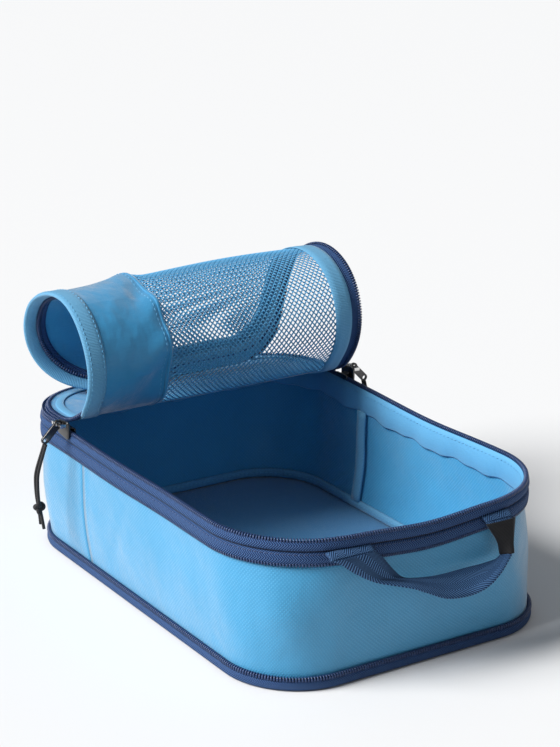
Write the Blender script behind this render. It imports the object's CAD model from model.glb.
"""Packing cube: cloth, zippers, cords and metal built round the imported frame.

Lengths are in mm until a mesh is made.
"""
import math
import bmesh
import bpy
import numpy as np
from mathutils import Matrix, Vector


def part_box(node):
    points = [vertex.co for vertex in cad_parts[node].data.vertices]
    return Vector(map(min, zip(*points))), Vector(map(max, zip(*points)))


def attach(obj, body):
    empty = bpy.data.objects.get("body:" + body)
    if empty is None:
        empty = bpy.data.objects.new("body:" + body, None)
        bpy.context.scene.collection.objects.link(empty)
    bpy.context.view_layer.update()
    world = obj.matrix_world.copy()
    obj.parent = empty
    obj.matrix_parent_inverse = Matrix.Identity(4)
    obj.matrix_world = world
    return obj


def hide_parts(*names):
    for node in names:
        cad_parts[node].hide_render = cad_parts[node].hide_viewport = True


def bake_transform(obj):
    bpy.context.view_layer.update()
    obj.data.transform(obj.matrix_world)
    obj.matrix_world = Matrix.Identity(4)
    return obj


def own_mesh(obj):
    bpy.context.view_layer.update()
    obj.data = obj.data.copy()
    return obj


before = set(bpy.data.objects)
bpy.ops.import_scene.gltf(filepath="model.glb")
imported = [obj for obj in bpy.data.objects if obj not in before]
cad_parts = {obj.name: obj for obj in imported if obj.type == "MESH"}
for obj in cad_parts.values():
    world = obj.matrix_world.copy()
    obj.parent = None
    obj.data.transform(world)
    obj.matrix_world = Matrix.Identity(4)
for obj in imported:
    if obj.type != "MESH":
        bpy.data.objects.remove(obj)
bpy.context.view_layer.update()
MM = 0.001


def low(node):
    return np.array(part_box(node)[0]) / MM


def high(node):
    return np.array(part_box(node)[1]) / MM


# ---- sizes read from the frame ----

BASE_HW, BASE_HL, _ = high("base_panel")
RIM_HW = high("main_zip_tape")[0]
RIM_TOP = high("main_zip_coil")[2]
MAIN_TAPE_Z = low("main_zip_tape")[2]
UPPER_BOTTOM = low("upper_expansion_coil")[2]
UPPER_TOP = high("upper_expansion_tape")[2]
LOWER_Z = low("lower_expansion_tape")[2]
LOWER_COIL_Z = low("lower_expansion_coil")[2]
FLANGE = high("lower_expansion_tape")[0] - BASE_HW
LID_EDGE = 8.6  # binding and zip tape beyond the lid's cloth
LID_HW = high("lid_back_panel")[0] + LID_EDGE
PIVOT_Y, PIVOT_Z = ((low("left_slider_bridge") + high("left_slider_bridge")) / 2)[1:]
PIVOT_X = low("left_slider_bridge")[0] + 0.9

# corner radii in plan
BASE_R = 38.0
RIM_R = 52.0
BACK_R = 34.0

# the lid: height of its cloth when shut, axis and radius of the roll, fold strips, net window
LID_Z = 79.25
ROLL_Y = 88.6
ROLL_R = 37.0
FOLD_Y = 76.0
STRIPS = 8
STRIP_L = (FOLD_Y + BASE_HL - 1) / STRIPS
MESH_LEFT = -38.5
MESH_RIGHT = 71.8
WINDOW_FRONT = -113.5
WINDOW_BACK = 69.8
FABRIC_T = 0.9

# walls, teeth and stitches
SEAM_Y = 50.0
WALL_T = 1.1
TOOTH_PITCH = 1.5
UP = (0, 0, 1)


# ---- camera ----

CAMERA_TARGET = Vector((0.122411, 0.186643, 0.040))
CAMERA_DISTANCE = 1.327579
CAMERA_ANGLES = (-33.7593, 18.4443, 1.0623)  # azimuth, elevation, roll in degrees
CAMERA_LENS = 99.168


def make_camera():
    azimuth, elevation, roll = (math.radians(a) for a in CAMERA_ANGLES)
    back = Vector((math.sin(azimuth) * math.cos(elevation), -math.cos(azimuth) * math.cos(elevation),
                   math.sin(elevation)))
    right = (-back).cross(Vector(UP)).normalized()
    up = right.cross(-back)
    turned_right = right * math.cos(roll) + up * math.sin(roll)
    turned_up = up * math.cos(roll) - right * math.sin(roll)
    data = bpy.data.cameras.new("camera")
    data.sensor_width = 36
    data.lens = CAMERA_LENS
    camera = bpy.data.objects.new("camera", data)
    bpy.context.collection.objects.link(camera)
    place = CAMERA_TARGET + back * CAMERA_DISTANCE
    matrix = [[turned_right[i], turned_up[i], back[i], place[i]] for i in range(3)] + [[0, 0, 0, 1]]
    camera.matrix_world = Matrix(matrix)
    bpy.context.scene.camera = camera


make_camera()


# ---- materials ----

class Shader:
    """Small builder for a node material whose patterns run on a cloth's own millimetres."""

    def __init__(self, name, rough=0.7, metallic=0.0, sheen=0.0, sheen_tint=(1, 1, 1), coat=0.0, specular=0.5):
        self.material = bpy.data.materials.new(name)
        self.material.use_nodes = True
        self.tree = self.material.node_tree
        self.tree.nodes.clear()
        output = self.tree.nodes.new("ShaderNodeOutputMaterial")
        self.surface = self.tree.nodes.new("ShaderNodeBsdfPrincipled")
        self.link(self.surface.outputs[0], output.inputs["Surface"])
        for socket, value in (("Roughness", rough), ("Metallic", metallic), ("Sheen Weight", sheen),
                              ("Sheen Roughness", 0.4), ("Sheen Tint", (*sheen_tint, 1)),
                              ("Coat Weight", coat), ("Specular IOR Level", specular)):
            self.surface.inputs[socket].default_value = value
        uv = self.tree.nodes.new("ShaderNodeUVMap")
        uv.uv_map = "cloth"
        split = self.tree.nodes.new("ShaderNodeSeparateXYZ")
        self.link(uv.outputs[0], split.inputs[0])
        self.uv = uv.outputs[0]
        self.u, self.v = split.outputs[0], split.outputs[1]

    def link(self, a, b):
        self.tree.links.new(a, b)

    def put(self, value, socket):
        if isinstance(value, (int, float)):
            socket.default_value = value
        else:
            self.link(value, socket)

    def math(self, operation, a, b=0.0, c=0.0):
        node = self.tree.nodes.new("ShaderNodeMath")
        node.operation = operation
        for value, socket in zip((a, b, c), node.inputs):
            self.put(value, socket)
        return node.outputs[0]

    def times(self, a, b):
        return self.math("MULTIPLY", a, b)

    def scaled(self, value, factor, added):
        return self.math("MULTIPLY_ADD", value, factor, added)

    def wave(self, value, period):
        """Sine of value, from 0 to 1, once every period."""
        turned = self.times(value, 2 * math.pi / period)
        return self.scaled(self.math("SINE", turned), 0.5, 0.5)

    def noise(self, scale, detail=3.0, stretch=(1, 1, 1), on_object=False):
        node = self.tree.nodes.new("ShaderNodeTexNoise")
        node.inputs["Scale"].default_value = scale
        node.inputs["Detail"].default_value = detail
        mapping = self.tree.nodes.new("ShaderNodeMapping")
        mapping.inputs["Scale"].default_value = stretch
        if on_object:
            place = self.tree.nodes.new("ShaderNodeTexCoord")
            self.link(place.outputs["Object"], mapping.inputs[0])
        else:
            self.link(self.uv, mapping.inputs[0])
        self.link(mapping.outputs[0], node.inputs["Vector"])
        return node.outputs[0]

    def mix(self, factor, a, b):
        node = self.tree.nodes.new("ShaderNodeMix")
        node.data_type = "RGBA"
        self.put(factor, node.inputs[0])
        for colour, socket in ((a, node.inputs[6]), (b, node.inputs[7])):
            if isinstance(colour, tuple):
                socket.default_value = (*colour, 1)
            else:
                self.link(colour, socket)
        return node.outputs[2]

    def finish(self, colour, height, depth, rough=None):
        """Colour, and a bump whose depth is in mm."""
        self.link(colour, self.surface.inputs["Base Color"])
        bump = self.tree.nodes.new("ShaderNodeBump")
        bump.inputs["Distance"].default_value = depth * MM
        bump.inputs["Strength"].default_value = 1.0
        self.link(height, bump.inputs["Height"])
        self.link(bump.outputs[0], self.surface.inputs["Normal"])
        if rough is not None:
            self.link(rough, self.surface.inputs["Roughness"])
        return self.material

    def varied(self, colour, dark=0.86, scale=0.035):
        """The colour, a little darker in large soft patches."""
        shade = tuple(c * dark for c in colour)
        return self.mix(self.noise(scale, 2.0), shade, colour)


def dobby_material(name, colour, dark, pitch=2.0):
    """Small diamond weave of the walls."""
    s = Shader(name, rough=0.5, sheen=0.8, sheen_tint=(1.0, 0.98, 0.95), specular=0.7)
    rise, fall = s.math("ADD", s.u, s.v), s.math("SUBTRACT", s.u, s.v)
    cells = s.times(s.wave(rise, pitch), s.wave(fall, pitch))
    threads = s.times(s.wave(s.u, 0.42), s.wave(s.v, 0.42))
    height = s.scaled(threads, 0.25, cells)
    height = s.scaled(s.noise(0.05, 2.5), 10.0, height)
    grain = s.noise(1.6, 2.0)
    pattern = s.scaled(cells, 0.5, s.times(grain, 0.6))
    tint = s.mix(pattern, s.varied(dark), s.varied(colour))
    return s.finish(tint, height, 0.11)


def taffeta_material(name, colour, dark, rough, crease=4.0):
    """Plain thin cloth with slubs and creases."""
    s = Shader(name, rough=rough, sheen=0.7, sheen_tint=(0.95, 0.97, 1.0), specular=0.6)
    threads = s.times(s.wave(s.u, 0.5), s.wave(s.v, 0.5))
    slubs = s.noise(0.9, 3.0, stretch=(0.15, 1.6, 1))
    pattern = s.scaled(threads, 0.45, s.times(slubs, 0.5))
    tint = s.mix(pattern, s.varied(dark, 0.9), s.varied(colour, 0.9))
    height = s.scaled(slubs, 0.6, threads)
    height = s.scaled(s.noise(0.055, 2.5, stretch=(1, 0.7, 1)), crease, height)
    return s.finish(tint, height, 0.05)


def grosgrain_material(name, colour, dark):
    """Ribbed tape."""
    s = Shader(name, rough=0.72, sheen=0.35, sheen_tint=(0.75, 0.88, 1.0))
    ribs = s.wave(s.u, 0.9)
    speckle = s.noise(1.3, 3.0)
    pattern = s.scaled(ribs, 0.35, s.times(speckle, 0.7))
    tint = s.mix(pattern, s.varied(dark, 0.9), s.varied(colour, 0.9))
    height = s.scaled(speckle, 0.8, ribs)
    return s.finish(tint, height, 0.12)


def herringbone_material(name, ground, stripe, column, pitch, slope, sharp, bump, sheen=0.06):
    """V-shaped stripes; u runs along the tape and v across it."""
    s = Shader(name, rough=0.7, sheen=sheen, sheen_tint=(0.6, 0.75, 1.0), specular=0.2)
    across = s.math("PINGPONG", s.v, column)
    slanted = s.scaled(across, slope, s.u)
    line = s.math("POWER", s.wave(slanted, pitch), sharp)
    grain = s.noise(1.8, 2.0)
    worn = s.times(line, s.scaled(grain, 0.8, 0.55))
    tint = s.mix(worn, s.varied(ground, 0.8), stripe)
    height = s.scaled(grain, 0.4, line)
    return s.finish(tint, height, bump)


def fibre_material(name, colour, light, pitch):
    """Braid or thread: slanted strands round a tube."""
    s = Shader(name, rough=0.75, sheen=0.2)
    rise, fall = s.math("ADD", s.u, s.v), s.math("SUBTRACT", s.u, s.v)
    strands = s.times(s.wave(rise, pitch), s.wave(fall, pitch))
    fuzz = s.noise(2.2, 2.0)
    tint = s.mix(s.times(strands, fuzz), colour, light)
    return s.finish(tint, strands, 0.12)


def plastic_material(name, colour, light, rough):
    s = Shader(name, rough=rough)
    spots = s.noise(900, 3.0, on_object=True)
    tint = s.mix(spots, colour, light)
    return s.finish(tint, s.noise(2500, 2.0, on_object=True), 0.03)


def metal_material(name, colour, worn, rough_low, rough_high):
    s = Shader(name, metallic=1.0, coat=0.15)
    scratch = s.noise(700, 4.0, stretch=(1, 0.2, 1), on_object=True)
    tint = s.mix(scratch, colour, worn)
    spread = s.scaled(s.noise(420, 3.0, on_object=True), rough_high - rough_low, rough_low)
    return s.finish(tint, scratch, 0.02, rough=spread)


MAT = {
    "wall": dobby_material("wall_dobby", (0.06, 0.375, 0.63), (0.017, 0.245, 0.50)),
    "floor_cloth": taffeta_material("base_cloth", (0.03, 0.27, 0.52), (0.012, 0.17, 0.38), 0.6),
    "lid": taffeta_material("lid_taffeta", (0.05, 0.345, 0.61), (0.018, 0.215, 0.45), 0.38, 60.0),
    "lining": grosgrain_material("lining_weave", (0.15, 0.46, 0.74), (0.055, 0.28, 0.53)),
    "binding": grosgrain_material("binding_grosgrain", (0.17, 0.46, 0.69), (0.045, 0.22, 0.42)),
    "edge": fibre_material("binding_edge", (0.14, 0.42, 0.66), (0.36, 0.64, 0.84), 0.9),
    "thread": fibre_material("stitch_thread", (0.10, 0.37, 0.61), (0.20, 0.49, 0.73), 0.6),
    "navy_thread": fibre_material("navy_thread", (0.02, 0.045, 0.13), (0.06, 0.11, 0.25), 0.6),
    "net": fibre_material("lid_net", (0.055, 0.30, 0.55), (0.19, 0.50, 0.76), 0.8),
    "tape": herringbone_material("zip_tape_twill", (0.004, 0.016, 0.072), (0.075, 0.17, 0.38),
                                 2.3, 1.3, 1.0, 2.0, 0.2, 0.03),
    "webbing": herringbone_material("handle_webbing_weave", (0.003, 0.017, 0.068), (0.10, 0.235, 0.46),
                                    4.4, 1.5, 1.25, 2.0, 0.22, 0.03),
    "coil": plastic_material("coil_nylon", (0.006, 0.018, 0.07), (0.03, 0.07, 0.19), 0.3),
    "dark": fibre_material("seam_groove", (0.004, 0.009, 0.03), (0.012, 0.025, 0.07), 0.8),
    "gunmetal": metal_material("slider_gunmetal", (0.045, 0.045, 0.05), (0.13, 0.125, 0.12), 0.22, 0.42),
    "nickel": metal_material("bridge_nickel", (0.62, 0.61, 0.60), (0.85, 0.84, 0.82), 0.14, 0.30),
    "cord": fibre_material("pull_cord_braid", (0.006, 0.006, 0.007), (0.045, 0.045, 0.05), 1.0),
    "tag": herringbone_material("tag_satin", (0.006, 0.006, 0.007), (0.022, 0.022, 0.024),
                                30.0, 0.7, 0.1, 1.0, 0.05, 0.1),
}


# ---- mesh helpers ----

def make_object(name, points, faces, uvs, material):
    """Mesh from points in mm, faces as lists of indices, and one (u, v) in mm per face corner."""
    data = bpy.data.meshes.new(name)
    data.from_pydata((np.asarray(points, float) * MM).tolist(), [], [list(map(int, f)) for f in faces])
    layer = data.uv_layers.new(name="cloth")
    layer.data.foreach_set("uv", np.asarray(uvs, np.float32).ravel())
    data.materials.append(MAT[material])
    data.polygons.foreach_set("use_smooth", [True] * len(data.polygons))
    obj = bpy.data.objects.new(name, data)
    bpy.context.collection.objects.link(obj)
    return obj


def grid_faces(rows, cols, close_rows, close_cols, keep=None):
    """Quads of a grid of points, as (face, corner cells) so that closed grids keep clean UVs."""
    faces, cells = [], []
    for i in range(rows if close_rows else rows - 1):
        for j in range(cols if close_cols else cols - 1):
            if keep is not None and not keep(i, j):
                continue
            a, b = i, (i + 1) % rows
            c, d = j, (j + 1) % cols
            faces.append([a * cols + c, a * cols + d, b * cols + d, b * cols + c])
            cells.append([(i, j), (i, j + 1), (i + 1, j + 1), (i + 1, j)])
    return faces, cells


def lengths(points, closed):
    steps = np.linalg.norm(np.diff(points, axis=0), axis=1)
    if closed:
        steps = np.append(steps, np.linalg.norm(points[0] - points[-1]))
    return np.concatenate([[0], np.cumsum(steps)])


def grid(points, close_rows=False, close_cols=False):
    """Points, faces and UVs of a (rows, cols, 3) grid; u runs along the columns and v along the rows."""
    rows, cols = points.shape[:2]
    faces, cells = grid_faces(rows, cols, close_rows, close_cols)
    u = lengths(points[rows // 2], close_cols)
    v = lengths(points[:, cols // 2], close_rows)
    uvs = [(u[j], v[i]) for cell in cells for i, j in cell]
    return points.reshape(-1, 3), faces, uvs


def capped(points, faces, uvs, rows, cols):
    """Closes the two ends of a tube whose section runs down the rows: the first and last columns."""
    first = [i * cols for i in range(rows)]
    last = [i * cols + cols - 1 for i in reversed(range(rows))]
    return points, faces + [first, last], uvs + [(0, 0)] * (2 * rows)


def tube(rows, u=None, v=None):
    """Capped tube through the columns of a grid; u and v may be given for each column and row."""
    rows = np.asarray(rows)
    points, faces, uvs = grid(rows, close_rows=True)
    if u is not None:
        cells = grid_faces(*rows.shape[:2], True, False)[1]
        uvs = [(u[j], v[i % len(v)]) for cell in cells for i, j in cell]
    return capped(points, faces, uvs, *rows.shape[:2])


def flat_uvs(points, faces):
    return [(points[i, 0], points[i, 1]) for f in faces for i in f]


def ellipse(across, height, centre=0.0, sides=8):
    """Closed section of (across, height) points."""
    turns = np.linspace(0, 2 * math.pi, sides, endpoint=False)
    return [(across * math.cos(a), centre + height * math.sin(a)) for a in turns]


def joined(parts):
    points, faces, uvs, start = [], [], [], 0
    for p, f, t in parts:
        points.append(p)
        faces.extend([[i + start for i in face] for face in f])
        uvs.extend(t)
        start += len(p)
    return np.vstack(points), faces, uvs


def instances(shape, origins, along, out, up):
    """Copies of a small (points, faces) shape, each with its own three directions."""
    points, faces = shape
    count, size = len(origins), len(points)
    placed = (origins[:, None] + points[None, :, 0:1] * along[:, None] + points[None, :, 1:2] * out[:, None]
              + points[None, :, 2:3] * up[:, None])
    placed = placed.reshape(-1, 3)
    all_faces = [[i + k * size for i in f] for k in range(count) for f in faces]
    uvs = [(points[i, 0] + 3 * k, points[i, 2] + points[i, 1]) for k in range(count) for f in faces for i in f]
    return placed, all_faces, uvs


def unit(v):
    return v / np.maximum(np.linalg.norm(v, axis=-1, keepdims=True), 1e-9)


def spread(points, pitch, closed=False):
    """Evenly spaced points and directions along a polyline."""
    line = np.vstack([points, points[:1]]) if closed else points
    at = lengths(line, False)
    count = max(2, int(round(at[-1] / pitch)))
    want = np.linspace(0, at[-1], count, endpoint=not closed)
    where = np.stack([np.interp(want, at, line[:, k]) for k in range(3)], 1)
    ahead = np.stack([np.interp(np.minimum(want + 0.4, at[-1]), at, line[:, k]) for k in range(3)], 1)
    behind = np.stack([np.interp(np.maximum(want - 0.4, 0), at, line[:, k]) for k in range(3)], 1)
    return where, unit(ahead - behind)


def bar_shape(path, half_along, half_thick):
    """A bent bar of square section: path is a list of (out, up), its width runs along."""
    path = np.array(path, float)
    run = unit(np.gradient(path, axis=0))
    side = np.stack([-run[:, 1], run[:, 0]], 1) * half_thick
    points = []
    for p, n in zip(path, side):
        for along, s in ((-half_along, -1), (half_along, -1), (half_along, 1), (-half_along, 1)):
            points.append((along, p[0] + s * n[0], p[1] + s * n[1]))
    faces = []
    for i in range(len(path) - 1):
        for c in range(4):
            a, b = 4 * i + c, 4 * i + (c + 1) % 4
            faces.append([a, b, b + 4, a + 4])
    last = 4 * (len(path) - 1)
    faces += [[3, 2, 1, 0], [last, last + 1, last + 2, last + 3]]
    return np.array(points, float), faces


TOOTH = bar_shape([(0.95, -1.5), (1.05, -0.4), (0.75, 0.35), (0, 0.6),
                   (-0.75, 0.35), (-1.05, -0.4), (-0.95, -1.5)], 0.42, 0.26)


def stitch_shape(length=1.9, radius=0.26, sides=6):
    """A short rounded stitch, drawn along its thread."""
    stations = [(-0.5, 0.15), (-0.38, 0.8), (0, 1.0), (0.38, 0.8), (0.5, 0.15)]
    points = [(along * length, radius * size * math.cos(a), radius * size * math.sin(a))
              for along, size in stations for a in 2 * math.pi * np.arange(sides) / sides]
    faces, _ = grid_faces(len(stations), sides, False, True)
    faces.append(list(reversed(range(sides))))
    faces.append([(len(stations) - 1) * sides + k for k in range(sides)])
    return np.array(points, float), faces


STITCH = stitch_shape()


def ride(obj, body, slot, *replaced):
    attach(obj, body)
    if replaced:
        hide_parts(*replaced)
    return obj


def piece(name, part, material, body, slot, *replaced):
    return ride(make_object(name, *part, material), body, slot, *replaced)


def sink(obj):
    """Lets the expansion joint press a piece flat towards a level."""
    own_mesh(obj)


# ---- outlines ----

SIDE_STEPS, FRONT_STEPS, BACK_STEPS, CORNER_STEPS = 56, 36, 18, 22


def outline(hw, hl, front_r, back_r):
    """Closed loop of points and outward normals, from the middle of the back round by the left side."""
    points, normals = [], []

    def straight(a, b, normal, steps):
        for t in np.linspace(0, 1, steps, endpoint=False):
            points.append(np.array(a) + (np.array(b) - np.array(a)) * t)
            normals.append(normal)

    def corner(cx, cy, r, start):
        for t in np.linspace(0, 1, CORNER_STEPS, endpoint=False):
            a = math.radians(start + 90 * t)
            points.append((cx + r * math.cos(a), cy + r * math.sin(a)))
            normals.append((math.cos(a), math.sin(a)))

    straight((0, hl), (back_r - hw, hl), (0, 1), BACK_STEPS)
    corner(back_r - hw, hl - back_r, back_r, 90)
    straight((-hw, hl - back_r), (-hw, front_r - hl), (-1, 0), SIDE_STEPS)
    corner(front_r - hw, front_r - hl, front_r, 180)
    straight((front_r - hw, -hl), (hw - front_r, -hl), (0, -1), FRONT_STEPS)
    corner(hw - front_r, front_r - hl, front_r, 270)
    straight((hw, front_r - hl), (hw, hl - back_r), (1, 0), SIDE_STEPS)
    corner(hw - back_r, hl - back_r, back_r, 0)
    straight((hw - back_r, hl), (0, hl), (0, 1), BACK_STEPS)
    return np.array(points, float), np.array(normals, float)


BASE_LOOP = outline(BASE_HW, BASE_HL, BASE_R, BASE_R)
RIM_LOOP = outline(RIM_HW, BASE_HL, RIM_R, BACK_R)


def bell(value, centre, width):
    """Smooth bump, 1 at its centre."""
    return np.exp(-((value - centre) / width) ** 2)


def ramp(value, start):
    """From 0 at start up to 1 a little further on."""
    return np.clip((value - start) / 25, 0, 1)


def rim_lift(p):
    """How far the soft rim stands above or below its plane."""
    x, y = p[:, 0], p[:, 1]
    right = -2.2 * bell(y, 5, 48) * ramp(x, 60)
    left = -0.5 * bell(y, -20, 40) * ramp(-x, 60)
    front = -2.6 * bell(x, 2, 30) * ramp(-y, 95)
    return right + left + front


def rim_push(p):
    """How far the soft rim stands outside or inside its outline."""
    x, y = p[:, 0], p[:, 1]
    side = 0.7 * np.sin(y / 19) * ramp(abs(x), 60) * bell(y, -10, 75)
    front = 1.1 * bell(x, 5, 34) * ramp(-y, 95)
    return side + front


def ring_grid(loop, profile, soft=True):
    """Closed band: profile is a list of (out, z) points round its section."""
    points, normals = loop
    push, lift = (rim_push(points), rim_lift(points)) if soft else np.zeros((2, len(points)))
    rows = [np.column_stack([points + normals * (out + push)[:, None], z + lift]) for out, z in profile]
    return np.array(rows)


def band(name, loop, profile, material, body, slot, *replaced, soft=True):
    part = grid(ring_grid(loop, profile, soft), close_rows=True, close_cols=True)
    return piece(name, part, material, body, slot, *replaced)


def along_loop(shape, loop, out, z, pitch, flip=1, keep=None, soft=True, lean=0.0):
    """Copies of a shape all the way round a loop, leaning out by so many degrees."""
    line = ring_grid(loop, [(out, z)], soft)[0]
    origins, along = spread(line, pitch, closed=True)
    up = np.tile([0.0, 0.0, float(flip)], (len(origins), 1))
    outward = unit(np.cross(up * flip, along))
    outward = outward * np.sign((outward[:, :2] * origins[:, :2]).sum(1))[:, None]
    tilt = math.radians(lean)
    up, outward = up * math.cos(tilt) + outward * math.sin(tilt), outward * math.cos(tilt) - up * math.sin(tilt)
    if keep is not None:
        chosen = keep(origins)
        origins, along, outward, up = origins[chosen], along[chosen], outward[chosen], up[chosen]
    return instances(shape, origins, along, outward, up)


# ---- base ----

def hump(points, seed):
    """Gentle unevenness of cloth, from -1 to 1."""
    x, y = points[:, 0], points[:, 1]
    total = np.zeros(len(points))
    for k in range(1, 5):
        a = seed * 1.7 + k * 2.1
        total += np.sin((x * math.cos(a) + y * math.sin(a)) / (31 / k ** 0.7) + a * 3) / k
    return total / 2.1


def base_cloth():
    """Floor of the compartment: one crowned panel that meets the walls all round."""
    points, _ = BASE_LOOP
    rings = np.array([1.0, 0.985, 0.95, 0.88, 0.78, 0.66, 0.52, 0.38, 0.24, 0.1])
    top, bottom = [], []
    for r in rings:
        xy = points * r
        rise = 1.0 + 0.9 * (1 - r) ** 0.5 + 0.35 * hump(xy, 2.0) * (1 - r ** 6)
        top.append(np.column_stack([xy, np.clip(rise, 0.9, 2.6)]))
        bottom.append(np.column_stack([xy, np.full(len(xy), 0.25 if r > 0.97 else 0.0)]))
    rows = np.array(bottom[::-1] + top)
    flat, faces, _ = grid(rows, close_cols=True)
    cols = rows.shape[1]
    faces += [[(len(rows) - 1) * cols + j for j in range(cols)], list(reversed(range(cols)))]
    part = flat, faces, flat_uvs(flat, faces)
    piece("base_cloth", part, "floor_cloth", "base", "base_fabric", "base_panel")


base_cloth()
band("lower_tape_band", BASE_LOOP,
     [(0.2, LOWER_Z + 0.5), (1.2, LOWER_Z), (FLANGE - 0.3, LOWER_Z + 0.2), (FLANGE, LOWER_Z + 1.2),
      (FLANGE - 0.1, LOWER_Z + 3), (FLANGE - 0.5, LOWER_COIL_Z), (FLANGE - 1.5, LOWER_COIL_Z + 0.3),
      (0.6, LOWER_COIL_Z - 0.6), (0.2, LOWER_COIL_Z - 2)],
     "tape", "base", "zip_tape", "lower_expansion_tape", soft=False)
piece("lower_coil_teeth",
      along_loop(TOOTH, BASE_LOOP, FLANGE - 1.1, LOWER_COIL_Z + 0.85, TOOTH_PITCH, soft=False, lean=12),
      "coil", "base", "zip_coil", "lower_expansion_coil")
band("base_piping", BASE_LOOP, [(0.4 + out, z) for out, z in ellipse(1.0, 0.85, 0.95)],
     "dark", "base", "zip_tape", soft=False)
band("base_inner_binding", outline(BASE_HW - 1.3, BASE_HL - 1.3, BASE_R + 2, BASE_R),
     [(0, 1.9), (-0.9, 1.9), (-1.9, 3.2), (-1.8, 6.2), (-0.9, 7.4), (0, 7.2)],
     "binding", "base", "binding", "base_seam_binding", soft=False)
piece("base_inner_stitches",
      along_loop(STITCH, outline(BASE_HW - 3.2, BASE_HL - 3.2, BASE_R, BASE_R), 0, 5.2, 3.0, soft=False),
      "thread", "base", "binding")


# ---- walls ----

def wall_grid():
    """(rows, cols, 3) outer face of the gusset from the lower tape to the upper one, and its normals."""
    low_points, low_normals = BASE_LOOP
    high_points, high_normals = RIM_LOOP
    normals = unit(low_normals + high_normals)
    corner = np.abs(low_normals[:, 0] * low_normals[:, 1]) * 2
    bottom, top = LOWER_COIL_Z - 1.5, UPPER_BOTTOM + 1.2
    rows = []
    for t in np.linspace(0, 1, 23):
        eased = t + 0.06 * math.sin(2 * math.pi * t)
        xy = low_points * (1 - eased) + (high_points - high_normals * 1.6) * eased
        x, y = xy[:, 0], xy[:, 1]
        belly = math.sin(math.pi * t)
        along = lengths(xy, True)[:-1]
        folds = (0.55 * np.sin(along / 17 + 2.2 * t) + 0.4 * np.sin(along / 9.5 - 3 * t + 1)
                 + 0.3 * np.sin(along / 5.3 + 7 * t))
        drag = (1.0 * bell(x, 8, 26) - 1.3 * bell(x, 24.2 * t - 55, 22)) * (y < -90)
        seam = -0.45 * bell(y, SEAM_Y, 4.5) * (abs(x) > 70) * min(1.0, 4 * belly)
        crease = -0.9 * bell(y, 30 - 26 * t, 5) * (x < -70) * belly
        push = belly * (1.9 + folds * (0.55 + 0.9 * corner) + drag + crease) + seam + rim_push(high_points) * t
        height = bottom + (top - bottom) * t + rim_lift(high_points) * t ** 2
        rows.append(np.column_stack([xy + normals * push[:, None], height]))
    return np.array(rows), normals


def walls():
    """Front and back gussets, split at the seams; u runs on round the rim and v up the cloth."""
    outer, normals = wall_grid()
    rows, cols = outer.shape[:2]
    inner = outer - np.column_stack([normals, np.zeros(cols)]) * WALL_T
    shell = np.concatenate([outer, inner[::-1]])
    u = lengths(RIM_LOOP[0], True)
    u = np.append(u[:-1], u + u[-1])
    v = lengths(shell[:, 0], True)
    v[rows:] = v[rows - 1] - (v[rows:] - v[rows])
    front = np.flatnonzero(BASE_LOOP[0][:, 1] < SEAM_Y + 0.5)
    for part, node, start, end in (("front", "side_gusset", front[0] - 1, front[-1] + 2),
                                   ("back", "back_gusset", front[-1] + 1, front[0] + cols)):
        picked = np.arange(start, end)
        cloth = piece(f"wall_cloth_{part}", tube(shell[:, picked % cols], u[picked], v),
                      "wall", "base", "wall_fabric", node)
        sink(cloth)


walls()


def seam_tapes():
    """Bound seams inside the walls, where the front and back gussets meet."""
    z = np.linspace(LOWER_COIL_Z + 1, UPPER_BOTTOM - 1, 14)
    t = (z - LOWER_COIL_Z) / (UPPER_BOTTOM - LOWER_COIL_Z)
    x = BASE_HW - 2.6 + 2.2 * t + 1.2 * np.sin(math.pi * t)
    profile = [(-4, 0), (-3.6, 0.9), (0, 1.3), (3.6, 0.9), (4, 0), (3.6, -0.5), (0, -0.6), (-3.6, -0.5)]
    tapes = []
    for s in (-1, 1):
        rows = [np.column_stack([s * (x - deep), SEAM_Y + across + 0.4 * np.sin(z / 6), z])
                for across, deep in profile]
        tapes.append(tube(rows[::s]))
    tape = piece("wall_seam_tapes", joined(tapes), "binding", "base", "binding", "gusset_seam_bindings")
    sink(tape)


seam_tapes()


# ---- rim ----

band("upper_tape_band", RIM_LOOP,
     [(-1.4, UPPER_BOTTOM + 0.8), (-0.6, UPPER_BOTTOM + 0.9), (0.1, UPPER_BOTTOM + 1.4),
      (0.75, UPPER_BOTTOM + 3.2), (0.75, UPPER_BOTTOM + 5.2), (0.2, UPPER_TOP - 0.5),
      (-0.5, UPPER_TOP + 0.1), (-1.4, UPPER_TOP)],
     "tape", "rim", "zip_tape", "upper_expansion_tape")
piece("upper_coil_teeth",
      along_loop(TOOTH, RIM_LOOP, -0.9, UPPER_BOTTOM + 0.75, TOOTH_PITCH, flip=-1, lean=-14),
      "coil", "rim", "zip_coil", "upper_expansion_coil")
band("rim_groove", RIM_LOOP,
     [(-0.7, UPPER_TOP - 0.6), (-0.7, MAIN_TAPE_Z + 0.6), (-1.6, MAIN_TAPE_Z + 0.6), (-1.6, UPPER_TOP - 0.6)],
     "dark", "rim", "zip_coil", "rim_seam_cord")
band("main_tape_band", RIM_LOOP,
     [(-1.4, MAIN_TAPE_Z + 0.1), (-0.4, MAIN_TAPE_Z - 0.1), (0.35, MAIN_TAPE_Z + 0.6),
      (0.75, MAIN_TAPE_Z + 2.0), (0.5, MAIN_TAPE_Z + 3.8), (-0.1, RIM_TOP - 1.5),
      (-1.0, RIM_TOP - 1.0), (-1.9, RIM_TOP - 1.4), (-1.5, MAIN_TAPE_Z + 2.5)],
     "tape", "rim", "zip_tape", "main_zip_tape")


def along_back(p):
    """Which points lie on the straight of the back, where the lid is hinged."""
    return (p[:, 1] > 100) & (abs(p[:, 0]) < RIM_HW - BACK_R)


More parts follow.
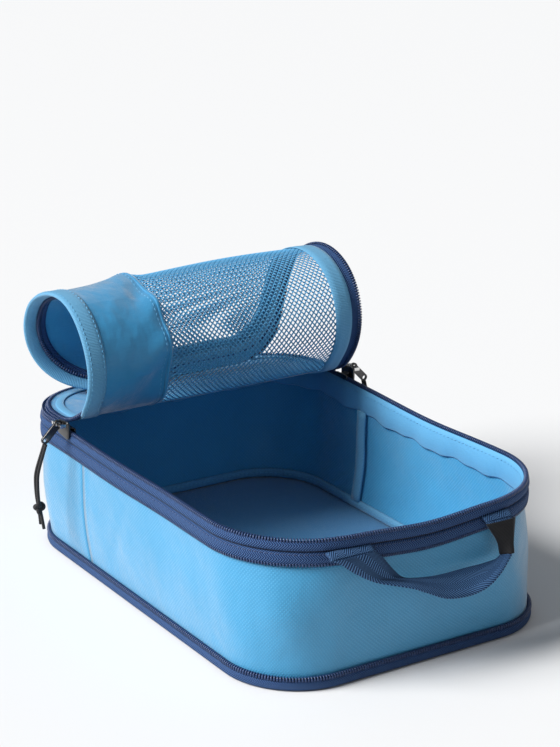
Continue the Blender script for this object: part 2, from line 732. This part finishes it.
piece("main_coil_teeth",
      along_loop(TOOTH, RIM_LOOP, -1.0, RIM_TOP - 0.75, TOOTH_PITCH, keep=lambda p: ~along_back(p), lean=8),
      "coil", "rim", "zip_coil", "main_zip_coil")


def rim_lining():
    """Soft facing under the coil, a little wavy along its lower edge."""
    section = [(-2.0, RIM_TOP - 2.2), (-1.7, RIM_TOP - 1.8), (-2.6, RIM_TOP - 2.0), (-3.4, RIM_TOP - 4.5),
               (-3.9, RIM_TOP - 8.0), (-3.9, UPPER_BOTTOM - 0.8), (-3.4, UPPER_BOTTOM - 1.7),
               (-3.0, UPPER_BOTTOM - 0.9), (-3.0, RIM_TOP - 8.0)]
    waviness = (0, 0, 0, 0.25, 0.6, 1, 1, 1, 0.6)
    rows = ring_grid(RIM_LOOP, section)
    at = lengths(RIM_LOOP[0], True)
    angle = 2 * math.pi * at[:-1] / at[-1]
    wave = np.sin(19 * angle) + 0.6 * np.sin(43 * angle + 1)
    direction = np.column_stack([0.35 * RIM_LOOP[1], np.full(len(wave), 0.6)])
    rows += np.array(waviness)[:, None, None] * (direction * wave[:, None])
    part = grid(rows, close_rows=True, close_cols=True)
    piece("rim_lining_cloth", part, "lining", "rim", "binding", "rim_lining")


rim_lining()
piece("rim_lining_stitches", along_loop(STITCH, RIM_LOOP, -3.5, RIM_TOP - 4.5, 3.2), "thread", "rim", "binding")
piece("upper_tape_stitches", along_loop(STITCH, RIM_LOOP, 0.35, UPPER_TOP - 0.9, 2.8),
      "navy_thread", "rim", "zip_tape")


# ---- lid, drawn flat as (x, y, depth) and then rolled; depth is the way to the closed lid's top ----

def smooth_step(value, start, end):
    t = np.clip((value - start) / (end - start), 0, 1)
    return t * t * (3 - 2 * t)


def lid_half(y):
    """Half width of the lid at y, with its round corners."""
    y = np.asarray(y, float)
    front = np.maximum(0, -BASE_HL + RIM_R - y)
    back = np.maximum(0, y - BASE_HL + BACK_R)
    return (LID_HW - RIM_R + np.sqrt(np.maximum(RIM_R ** 2 - front ** 2, 0))
            + np.sqrt(np.maximum(BACK_R ** 2 - back ** 2, 0)) - BACK_R)


def cloth_wave(x, y):
    """Soft folds of the rolled lid, as extra depth."""
    panel = smooth_step(-x, 30, 45)
    rolled = smooth_step(ROLL_Y - y, 8, 40)
    slow = 0.9 * np.sin(y / 21 + x / 34) + 0.5 * np.sin(y / 12.5 - x / 19 + 1)
    seam = 1.1 * bell(x, MESH_LEFT, 7) * np.sin(y / 5.2 + 0.8 * np.sin(y / 13))
    net = 0.7 * np.sin(y / 16 + x / 22) * (1 - panel)
    pinch = 1.2 * bell(x, MESH_LEFT - 6, 9) * np.sin(y / 9.0 + x / 14) * panel
    pucker = 0.75 * bell(x, MESH_LEFT - 8, 8) * np.sin(y / 4.6 + x / 6) * panel
    return rolled * (panel * slow * 1.3 + seam * 1.3 + net + 1.5 * pinch + pucker)


def rolled(flat):
    """Places flat lid points at rest: level behind ROLL_Y and round the roll in front of it."""
    x, y, depth = flat[:, 0], flat[:, 1], flat[:, 2] + cloth_wave(flat[:, 0], flat[:, 1])
    turn = np.maximum(0, (ROLL_Y - y) / ROLL_R)
    side = smooth_step(x, -85, 80)
    slack = (1 - smooth_step(x, -60, 62)) * bell(turn, 2.15, 0.75)
    corners = (1.4 * bell(turn, 4.0, 0.4) + 3.0 * bell(turn, 5.4, 0.4)
               - 1.3 * bell(turn, 4.7, 0.3)) * (1 - smooth_step(x, -60, 40))
    radius = ROLL_R - depth - 3.8 * slack + corners
    behind = y > ROLL_Y
    out_y = np.where(behind, y, ROLL_Y - radius * np.sin(turn) * (1.05 - 0.07 * side))
    out_z = np.where(behind, LID_Z + depth, LID_Z + (ROLL_R - radius * np.cos(turn)) * (0.945 + 0.045 * side))
    return np.column_stack([x, out_y, out_z])


ZONE_EDGES = [ROLL_Y] + [FOLD_Y - STRIP_L * (k - 0.5) for k in range(1, STRIPS + 1)]


def cut_caps(faces, layer):
    """Faces that close a two-layer piece along its cuts; layer is how far apart its layers' indices are."""
    edges = {(a, b) for f in faces for a, b in zip(f, f[1:] + f[:1])}
    return [[b, a, a + layer, b + layer] for a, b in edges if (b, a) not in edges and a < layer and b < layer]


def follow(obj, zone):
    """A zone rides one strip of the lid, or bends between two."""
    if zone == 0:
        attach(obj, "rim")
    elif zone > STRIPS:
        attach(obj, f"lid_{STRIPS}")
    else:
        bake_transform(obj)


def lid_pieces(name, part, material, nodes=None, layer=0, group=1):
    """Cuts a flat lid part across its zones. Every group of faces stays together."""
    flat, faces, uvs = part
    flat = np.asarray(flat, float)
    placed = rolled(flat)
    uvs = np.asarray(uvs, float)
    zones = [[] for _ in range(STRIPS + 2)]
    corner = 0
    for k, f in enumerate(faces):
        if k % group == 0:
            mid = sum(flat[i, 1] for i in f) / len(f)
            zone = sum(1 for edge in ZONE_EDGES if mid < edge)
        zones[zone].append((list(f), range(corner, corner + len(f))))
        corner += len(f)
    made = []
    for zone, members in enumerate(zones):
        if not members:
            continue
        used = sorted({i for f, _ in members for i in f})
        index = {old: new for new, old in enumerate(used)}
        zone_faces = [f for f, _ in members]
        zone_uvs = uvs[[c for _, span in members for c in span]]
        if layer:
            caps = cut_caps(zone_faces, layer)
            zone_faces += caps
            zone_uvs = np.vstack([zone_uvs, flat[[i for f in caps for i in f], :2]])
        obj = make_object(f"{name}_{zone}", placed[used], [[index[i] for i in f] for f in zone_faces],
                          zone_uvs, material)
        if layer:
            obj.data.set_sharp_from_angle(angle=math.radians(55))
        follow(obj, zone)
        replaced = nodes(zone) if nodes else []
        if replaced:
            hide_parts(*replaced)
        made.append(obj)
    return made


ROW_STEP = STRIP_L / 8
LID_ROWS = [126.3] + [ZONE_EDGES[1] - ROW_STEP * j for j in range(-19, 60)] + [-125.6]


def lid_fabric():
    """One sheet with a window for the net, so its seams never part."""
    left, window, right = 15, 14, 4
    rows = []
    for y in LID_ROWS:
        half = float(lid_half(y))
        edge_left, edge_right = 3.0 - half, half - 8.4
        split_left = max(MESH_LEFT, edge_left + 2)
        split_right = min(MESH_RIGHT, edge_right - 2)
        xs = np.concatenate([np.linspace(edge_left, split_left, left, endpoint=False),
                             np.linspace(split_left, split_right, window, endpoint=False),
                             np.linspace(split_right, edge_right, right)])
        rows.append(np.column_stack([xs, np.full(len(xs), y), np.zeros(len(xs))]))

    def solid(i, j):
        y = (LID_ROWS[i] + LID_ROWS[i + 1]) / 2
        return not (left <= j < left + window and WINDOW_FRONT < y < WINDOW_BACK)

    sheet = np.vstack(rows)
    size = len(sheet)
    up_faces, _ = grid_faces(len(rows), left + window + right, False, False, solid)
    top = [f[::-1] for f in up_faces]
    below = [[i + size for i in f] for f in up_faces]
    points = np.vstack([sheet + [0, 0, FABRIC_T / 2], sheet - [0, 0, FABRIC_T / 2]])
    edges = [f[::-1] for f in cut_caps(top, size)]
    faces = top + below + edges
    return points, faces, flat_uvs(points, faces)


def fabric_nodes(zone):
    if zone == 0:
        return ["lid_back_panel"]
    return [f"lid_fabric_{zone}"] if zone <= STRIPS else []


CLOTH_PART = lid_fabric()
LID_CLOTH = lid_pieces("lid_cloth", CLOTH_PART, "lid", fabric_nodes, len(CLOTH_PART[0]) // 2)


def lid_net():
    """Open net: one slanting strand across each cell, by turns to the left and to the right."""
    cell_x, cell_y = 1.58, STRIP_L / 14
    half, thick, over = 0.41, 0.26, 0.1
    back = ZONE_EDGES[1] + 4 * cell_y
    columns = int((MESH_RIGHT - MESH_LEFT + 2) / cell_x)
    points, faces = [], []
    for j in range(int((back - WINDOW_FRONT) / cell_y)):
        y0, y1 = back - j * cell_y, back - (j + 1) * cell_y
        reach = min(MESH_RIGHT + 1, float(lid_half(y1)) - 6.5)
        for i in range(columns):
            x0 = MESH_LEFT - 1 + i * cell_x
            x1 = x0 + cell_x
            if x1 > reach:
                continue
            leans_right = (i + j) % 2 == 0
            xa, xb = (x0, x1) if leans_right else (x1, x0)
            middle = over if leans_right else -over
            a = len(points)
            for x, y in ((xa - half, y0), (xa + half, y0), (xb + half, y1), (xb - half, y1)):
                points += [(x, y, middle + thick), (x, y, middle - thick)]
            faces += [[a, a + 2, a + 4, a + 6], [a + 7, a + 5, a + 3, a + 1],
                      [a, a + 6, a + 7, a + 1], [a + 2, a + 3, a + 5, a + 4],
                      [a, a + 1, a + 3, a + 2], [a + 4, a + 5, a + 7, a + 6]]
    points = np.array(points, float)
    return points, faces, flat_uvs(points, faces)


LID_NET = lid_pieces("lid_net", lid_net(), "net",
                     lambda zone: [f"lid_mesh_{zone}"] if 1 <= zone < STRIPS else [], group=6)


def lid_border():
    """The lid's outline, flat, and its outward normals, from the back left round the front to the back right."""
    left, normals = [], []

    def corner(r, cy, start, turns):
        for t in turns:
            a = math.radians(start + 90 * t)
            left.append((r - LID_HW + r * math.cos(a), cy + r * math.sin(a)))
            normals.append((math.cos(a), math.sin(a)))

    corner(BACK_R, BASE_HL - BACK_R, 90, np.linspace(0.0, 1.0, 14)[:-1])
    for y in [r for r in LID_ROWS if RIM_R - BASE_HL < r < BASE_HL - BACK_R]:
        left.append((-LID_HW, y))
        normals.append((-1, 0))
    corner(RIM_R, RIM_R - BASE_HL, 180, np.linspace(0.0, 1.0, 26))
    for x in np.linspace(RIM_R - LID_HW, 0, 12)[1:]:
        left.append((x, -BASE_HL))
        normals.append((0, -1))
    mirrored = [np.vstack([half, (half * [-1, 1])[::-1][1:]]) for half in (np.array(left), np.array(normals))]
    return mirrored


LID_LINE, LID_NORMALS = lid_border()
LEFT_SHARE = smooth_step(-LID_LINE[:, 0], -6, 30)
FOLDED = LEFT_SHARE * smooth_step(-LID_LINE[:, 1], -76, -52)
BENT = (1 - LEFT_SHARE) * smooth_step(-LID_LINE[:, 1], -76, -52)


def edge_grid(flat_profile, folded_profile, bent_profile):
    """Sweeps a section of (out, depth) points along the lid's edge, morphing between its three shapes."""
    rows = []
    for plain, folded, bent in zip(flat_profile, folded_profile, bent_profile):
        out = plain[0] + (folded[0] - plain[0]) * FOLDED + (bent[0] - plain[0]) * BENT
        depth = plain[1] + (folded[1] - plain[1]) * FOLDED + (bent[1] - plain[1]) * BENT
        rows.append(np.column_stack([LID_LINE + LID_NORMALS * out[:, None], depth]))
    return np.array(rows)


def closed_section(path, thick):
    """Turns an open (out, depth) path into a closed section of even thickness."""
    path = np.array(path, float)
    run = unit(np.gradient(path, axis=0))
    side = np.stack([-run[:, 1], run[:, 0]], 1) * thick / 2
    return np.vstack([path + side, (path - side)[::-1]])


def edge_part(flat_path, folded_path, bent_path, thick):
    return tube(edge_grid(*(closed_section(p, thick) for p in (flat_path, folded_path, bent_path))))


TAPE_PATHS = (
    [(-9.0, 0), (-6.5, 0), (-4.2, 0), (-2.0, 0), (-0.6, 0)],
    [(-12.2, 1.3), (-10.6, 1.8), (-9.0, 2.2), (-7.8, 2.5), (-6.9, 2.8)],
    [(-10.4, 0.1), (-8.8, 0.2), (-6.8, 0.0), (-4.8, -0.5), (-3.1, -1.3)])
lid_pieces("lid_zip_tape", edge_part(*TAPE_PATHS, 0.7), "tape",
           lambda zone: [f"lid_zip_{zone}" if zone else "lid_back_zip"] if zone <= STRIPS else [])


def lid_teeth():
    """Teeth along the edge of the lid's tape, pointing away from its inner side."""
    inner, centre = (edge_grid(*([path[k]] for path in TAPE_PATHS))[0] for k in (-2, -1))
    at = lengths(centre, False)
    want = np.arange(0.8, at[-1], TOOTH_PITCH)
    origins, roots = (np.stack([np.interp(want, at, line[:, k]) for k in range(3)], 1)
                      for line in (centre, inner))
    up = unit(origins - roots)
    ahead = unit(np.gradient(origins, axis=0))
    return instances(TOOTH, origins, ahead, unit(np.cross(ahead, up)), up)


lid_pieces("lid_zip_teeth", lid_teeth(), "coil")

BINDING_FLAT = [(-16.5, -0.75), (-16.2, -1.25), (-12, -1.3), (-8, -1.2), (-5.6, -1.1), (-5.0, -0.3), (-5.0, 0.5),
                (-6.0, 1.1), (-8, 1.2), (-9.4, 1.3), (-9.8, 0.9), (-9.0, 0.65), (-6.5, 0.55), (-6.5, -0.55),
                (-9, -0.7), (-13, -0.75)]
BINDING_FOLDED = [(-10.6, -0.6), (-10.3, -1.1), (-7.5, -1.35), (-3.0, -1.25), (-0.8, -0.95), (0.3, -0.3),
                  (0.4, 0.4), (-0.3, 1.2), (-3.0, 1.6), (-6.6, 2.0), (-7.1, 1.7), (-6.6, 1.3), (-3.0, 0.9),
                  (-0.7, 0.4), (-0.7, -0.1), (-7.5, -0.6)]


BINDING_BENT = [(out - 3.5, depth) for out, depth in BINDING_FLAT]
lid_pieces("lid_edge_binding", tube(edge_grid(BINDING_FLAT, BINDING_FOLDED, BINDING_BENT)),
           "binding")


def seam_ridge(x, width, height):
    """Raised seam along the net, under the lid's cloth."""
    path = np.array([(x, y) for y in LID_ROWS if -113 < y < 84])
    rows = [np.column_stack([path - [side, 0], np.full(len(path), depth)])
            for side, depth in ellipse(width, height, -0.55)]
    return tube(rows)


lid_pieces("lid_seam_left", seam_ridge(MESH_LEFT - 0.4, 1.1, 0.45), "lid")
lid_pieces("lid_seam_right", seam_ridge(MESH_RIGHT + 0.4, 1.0, 0.6), "edge")


def flat_stitches(path, depth, pitch=3.0):
    line = np.column_stack([path, np.full(len(path), depth)])
    origins, along = spread(line, pitch)
    up = np.tile([0.0, 0.0, -1.0], (len(origins), 1))
    return instances(STITCH, origins, along, unit(np.cross(up, along)), up)


def border_stitches(out, depth, share):
    line = edge_grid([(out - 3, depth)], [(out, depth)], [(out - 3, depth)])[0]
    return flat_stitches(line[share, :2], depth)


lid_pieces("lid_binding_stitches",
           joined([border_stitches(-1.7, -1.2, LEFT_SHARE > 0.5), border_stitches(-9.3, -1.3, LEFT_SHARE > 0.5),
                   flat_stitches(np.array([(MESH_LEFT - 3.4, y) for y in LID_ROWS if -112 < y < 84]), -0.5)]),
           "thread")


def lid_hinge():
    """Cloth hinge between the rim and the lid, along the straight of the back."""
    xs = np.linspace(low("lid_hinge_strip")[0], high("lid_hinge_strip")[0], 40)
    section = [(BASE_HL - 0.2, RIM_TOP - 1.6), (BASE_HL + 0.3, RIM_TOP - 0.2), (BASE_HL + 0.1, LID_Z + 0.3),
               (BASE_HL - 1.2, LID_Z + 0.9), (BASE_HL - 3.0, LID_Z + 0.6), (BASE_HL - 1.8, LID_Z - 0.2),
               (BASE_HL - 1.2, RIM_TOP - 0.4), (BASE_HL - 1.4, RIM_TOP - 1.6)]
    rows = [np.column_stack([xs, y + 0.25 * np.sin(xs / 7), np.full(len(xs), z)]) for y, z in section]
    piece("lid_hinge_cloth", tube(rows), "lid", "rim", "lid_fabric", "lid_hinge_strip")


lid_hinge()

BACK_LOOP = outline(RIM_HW - 1.0, BASE_HL - 1.0, RIM_R, BACK_R)


def closed_at_back(p):
    """Which points lie round the back corners, where the zipper is still closed."""
    return (p[:, 1] > 82) & ~along_back(p)


piece("back_closed_teeth",
      along_loop(TOOTH, BACK_LOOP, -0.2, RIM_TOP + 0.55, TOOTH_PITCH, flip=-1, keep=closed_at_back),
      "coil", "rim", "zip_coil")


# ---- sliders and pull tabs: the CAD metal with rounded edges ----

def rounded_copy(node, name, material, body, slot, width):
    """The node's own mesh with its hard edges bevelled by width."""
    source = bpy.data.objects[node]
    obj = source.copy()
    obj.data = source.data.copy()
    for key in list(obj.keys()):
        del obj[key]
    obj.name = name
    obj.data.name = name
    obj.parent = None
    bpy.context.collection.objects.link(obj)
    obj.data.materials.clear()
    obj.data.materials.append(MAT[material])
    mesh = bmesh.new()
    mesh.from_mesh(obj.data)
    bmesh.ops.remove_doubles(mesh, verts=mesh.verts, dist=1e-6)
    bmesh.ops.dissolve_limit(mesh, angle_limit=0.03, verts=mesh.verts, edges=mesh.edges)
    mesh.to_mesh(obj.data)
    mesh.free()
    bevel = obj.modifiers.new("edges", "BEVEL")
    bevel.width = width * MM
    bevel.segments = 3
    bevel.limit_method = "ANGLE"
    bevel.angle_limit = math.radians(40)
    bevel.use_clamp_overlap = True
    final = bpy.data.meshes.new_from_object(obj.evaluated_get(bpy.context.evaluated_depsgraph_get()))
    obj.modifiers.clear()
    obj.data = final
    uv = final.uv_layers.new(name="cloth")
    co = np.array([final.vertices[l.vertex_index].co for l in final.loops], float) / MM
    uv.data.foreach_set("uv", np.column_stack([co[:, 0] + co[:, 1], co[:, 2]]).astype(np.float32).ravel())
    final.polygons.foreach_set("use_smooth", [True] * len(final.polygons))
    final.set_sharp_from_angle(angle=math.radians(50))
    ride(obj, body, slot, node)


for zipper in ("left", "right", "expansion"):
    slider, puller = f"{zipper}_zip_slider", f"{zipper}_puller"
    rounded_copy(f"{zipper}_slider", f"{zipper}_slider_body", "gunmetal", slider, "slider_metal", 0.45)
    rounded_copy(f"{zipper}_slider_bridge", f"{zipper}_slider_arch", "nickel", slider, "bridge_metal", 0.5)
    rounded_copy(f"{zipper}_pull_tab", f"{zipper}_tab", "gunmetal", puller, "slider_metal", 0.4)


# ---- pull cords ----

CORD_R = 0.9
TAB_REACH = 10.8
TAB_LEAN = math.radians(45)
CORD_START = np.array([PIVOT_X - TAB_REACH * math.sin(TAB_LEAN), PIVOT_Y, high("left_pull_cord")[2] - 0.4])
CORD_ROUTE = np.array([[0, 0, 0], [-2, 0.4, -6], [-3.8, 0.8, -12], [-4.9, 1, -17], [-5, 1.2, -23],
                       [-4.6, 1.2, -30], [-3.8, 1, -36], [-3, 0.8, -42], [-2.4, 0.6, -47]], float)
STRANDS_APART = np.array([0.95, 1.1, 1.25, 1.35, 1.3, 1.1, 0.92, 1.3, 2.0])
KNOT_AT = CORD_ROUTE[6]


def spline(points, count):
    """Smooth curve through the points, evenly split between them."""
    points = np.asarray(points, float)
    last = len(points) - 1
    result = []
    for w in np.linspace(0, last, count):
        i = min(int(w), last - 1)
        t = w - i
        a, b = points[i], points[i + 1]
        before = points[i - 1] if i else 2 * a - b
        after = points[i + 2] if i + 2 <= last else 2 * b - a
        result.append(0.5 * (2 * a + (b - before) * t + (2 * before - 5 * a + 4 * b - after) * t ** 2
                             + (3 * a - before - 3 * b + after) * t ** 3))
    return np.array(result)


def tube_part(path, radius, closed=False):
    """Round tube along a path, with directions carried along it; u runs along and v round."""
    run = unit(np.gradient(path, axis=0)) if not closed else unit(np.roll(path, -1, 0) - np.roll(path, 1, 0))
    normal = unit(np.cross(run[0], [0.3, 1, 0.2]))
    frames = []
    for r in run:
        normal = unit(normal - r * np.dot(normal, r))
        frames.append(normal)
    frames = np.array(frames)
    other = np.cross(run, frames)
    rows = np.array([path + radius * (math.cos(a) * frames + math.sin(a) * other)
                     for a in np.linspace(0, 2 * math.pi, 10, endpoint=False)][::-1])
    return grid(rows, close_rows=True, close_cols=True) if closed else tube(rows)


def knot_curve(centre, size):
    """Trefoil: the cord's overhand knot."""
    t = np.linspace(0, 2 * math.pi, 64, endpoint=False)
    curve = np.column_stack([np.sin(t) + 2 * np.sin(2 * t), -1.3 * np.sin(3 * t),
                             1.15 * (np.cos(t) - 2 * np.cos(2 * t))])
    return centre + curve * size


def pull_cord(side, sign):
    """Two strands through the pull tab, knotted together; sign mirrors them for the right side."""
    mirror = np.array([sign, 1, 1])
    knot = piece(f"{side}_knot", tube_part(knot_curve(CORD_START + KNOT_AT, 0.82) * mirror, 1.15, True),
                 "cord", f"{side}_puller", "pull_cord", f"{side}_cord_knot")
    for strand, spacing in (("front", -1), ("back", 1)):
        route = CORD_START + CORD_ROUTE
        route[:, 1] += spacing * STRANDS_APART
        route[0, 2] += 0.5
        route[-1, 2] += 0.8 * spacing
        path = spline(route, 60) * mirror
        first = strand == "front"
        cord = piece(f"{side}_cord_{strand}", tube_part(path, CORD_R), "cord", f"{side}_puller", "pull_cord",
                     *([f"{side}_pull_cord"] if first else []))
        sink(cord)
    sink(knot)


pull_cord("left", 1)
pull_cord("right", -1)


# ---- handle ----

STRAP_TOP = high("handle_webbing")[2] - 0.3
STRAP_OUT = -131.0
LOW_EDGE = np.array([(-59, STRAP_OUT, STRAP_TOP), (-54, -131.6, 66), (-45.5, -132.5, 59.5), (-35.5, -133.5, 53.5),
                     (-27, -136.5, 51), (-17, -140.5, 48.5), (-9, -143, 45), (1.4, -145, 40.5),
                     (14.3, -146.2, 39.4), (24.5, -147.3, 42), (34.8, -144.5, 46), (41.9, -141, 49.4),
                     (47, -138, 52.3), (49.2, -134.5, 58.7), (51.5, STRAP_OUT, STRAP_TOP)], float)
HIGH_EDGE = np.array([(-33.2, STRAP_OUT, STRAP_TOP), (-28.8, -131.6, 64), (-23.5, -132, 57.5), (-17.8, -132, 51.8),
                      (-12.8, -132, 49.4), (-6, -132, 48.2), (2.2, -132, 47.2), (11.1, -132, 46.9),
                      (21.3, -132, 47), (31, -132, 46.8), (38.3, -132, 47), (42.5, -132, 47.8),
                      (44.5, -132, 50.5), (41.7, -132, 58), (34.7, STRAP_OUT, STRAP_TOP)], float)


STRAP_WIDTH = 17.6


def ribbon(low_edge, high_edge, stations, thick, spare=0.0, cup=0.0, across=9):
    """Strap between two edges, as a closed tube of webbing section; u runs along it and v across."""
    a, b = spline(low_edge, stations), spline(high_edge, stations)
    normal = unit(np.cross(unit(np.gradient((a + b) / 2, axis=0)), b - a))
    direction = unit(b - a)
    front, back = [], []
    for t in np.linspace(0, 1, across):
        middle = a * (1 - t) + b * t + direction * spare * (2 * t - 1)
        bow = cup * (1 - (2 * t - 1) ** 2)
        edge = 0.45 if t in (0.0, 1.0) else 1.0
        front.append(middle + normal * (bow + thick / 2 * edge))
        back.append(middle + normal * (bow - thick / 2 * edge))
    width = np.linspace(0, STRAP_WIDTH, across)
    return tube(front + back[::-1], lengths((a + b) / 2, False), np.append(width, width[::-1]))


def handle():
    strap = piece("handle_strap", ribbon(LOW_EDGE, HIGH_EDGE, 110, 1.5, cup=0.5), "webbing",
                  "carry_handle", "webbing", "handle_webbing")
    clear = np.array([[0, -0.3, -0.5], [0, -0.3, 0], [0.6, -0.6, -0.6]])
    sleeve = ribbon(LOW_EDGE[-3:] + clear, HIGH_EDGE[-3:] + clear, 30, 2.9, spare=0.7, cup=0.4)
    tag = piece("handle_label", sleeve, "tag", "carry_handle", "tag", "handle_tag")
    for obj in (strap, tag):
        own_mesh(obj)


handle()


def anchor_pads():
    """Strap ends: they come out of the groove under the main tape and turn down to the strap's hinge line."""
    path = [(-0.6, 0.0), (0.5, -0.1), (1.6, -0.4), (2.6, -1.0), (3.5, -1.8), (4.0, -2.6)]
    section = closed_section(path, 1.2)
    follows = 1 - smooth_step(-section[:, 1], 0.4, 2.3)
    down = 1.1 * np.minimum(np.arange(len(section)), np.arange(len(section))[::-1])
    pads = []
    for start, end in ((LOW_EDGE[0][0], HIGH_EDGE[0][0]), (HIGH_EDGE[-1][0], LOW_EDGE[-1][0])):
        xs = np.linspace(start, end, 16)
        lift = rim_lift(np.column_stack([xs, np.full(len(xs), -BASE_HL)]))
        rows = [np.column_stack([xs, np.full(len(xs), -BASE_HL - out), UPPER_TOP + 0.3 + dz + lift * share])
                for (out, dz), share in zip(section, follows)]
        points, faces, uvs = tube(rows, xs - start, down)
        pads.append((points, faces, [(v, u) for u, v in uvs]))
    piece("handle_ends", joined(pads), "webbing", "rim", "webbing", "handle_anchors")


anchor_pads()


# ---- sheets, stage, light ----

def flat_cut(obj):
    """Flat width, length and area of a two-layer lid piece in square metres, from its cloth coordinates."""
    layer = obj.data.uv_layers["cloth"].data
    uv = np.empty(2 * len(layer), np.float32)
    layer.foreach_get("uv", uv)
    uv = uv.reshape(-1, 2).astype(float) * MM
    area = 0.0
    for face in obj.data.polygons:
        corners = uv[list(face.loop_indices)]
        ahead = np.roll(corners, -1, 0)
        area += abs((corners[:, 0] * ahead[:, 1] - corners[:, 1] * ahead[:, 0]).sum()) / 4
    return *(uv.max(0) - uv.min(0)), area


def declare_sheets():
    """The lid's cloth and net are sheets; each of their zones is declared with its own flat cut."""
    for k, piece in enumerate(LID_CLOTH):
        width, length, area = flat_cut(piece)
    for k, piece in enumerate(LID_NET[1:]):
        width, length, _ = flat_cut(piece)


declare_sheets()


FLOOR_HALF = 4.0  # metres
LIGHT_DIRECTION = Vector((0.74, -0.22, -0.64))
KEY_STRENGTH = 5.1
KEY_ANGLE = math.radians(34)
SKY_STRENGTH = 0.27


def studio():
    """Pale floor, even pale surroundings and one broad soft light from the back left."""
    data = bpy.data.meshes.new("floor")
    corners = [(x * FLOOR_HALF, y * FLOOR_HALF, 0) for x, y in ((-1, -1), (1, -1), (1, 1), (-1, 1))]
    data.from_pydata(corners, [], [(0, 1, 2, 3)])
    floor = bpy.data.objects.new("floor", data)
    bpy.context.collection.objects.link(floor)
    pale = bpy.data.materials.new("pale_floor")
    pale.use_nodes = True
    shader = pale.node_tree.nodes["Principled BSDF"]
    shader.inputs["Base Color"].default_value = (0.75, 0.75, 0.75, 1)
    shader.inputs["Roughness"].default_value = 0.8
    data.materials.append(pale)
    world = bpy.data.worlds.new("studio")
    world.use_nodes = True
    background = world.node_tree.nodes["Background"]
    background.inputs["Color"].default_value = (0.93, 0.96, 1.0, 1)
    background.inputs["Strength"].default_value = SKY_STRENGTH
    bpy.context.scene.world = world
    sun = bpy.data.lights.new("key", "SUN")
    sun.energy = KEY_STRENGTH
    sun.angle = KEY_ANGLE
    key = bpy.data.objects.new("key", sun)
    key.rotation_euler = LIGHT_DIRECTION.to_track_quat("-Z", "Y").to_euler()
    bpy.context.collection.objects.link(key)
    view = bpy.context.scene.view_settings
    view.view_transform = "Standard"
    view.look = "None"
    view.exposure = 0.0


studio()
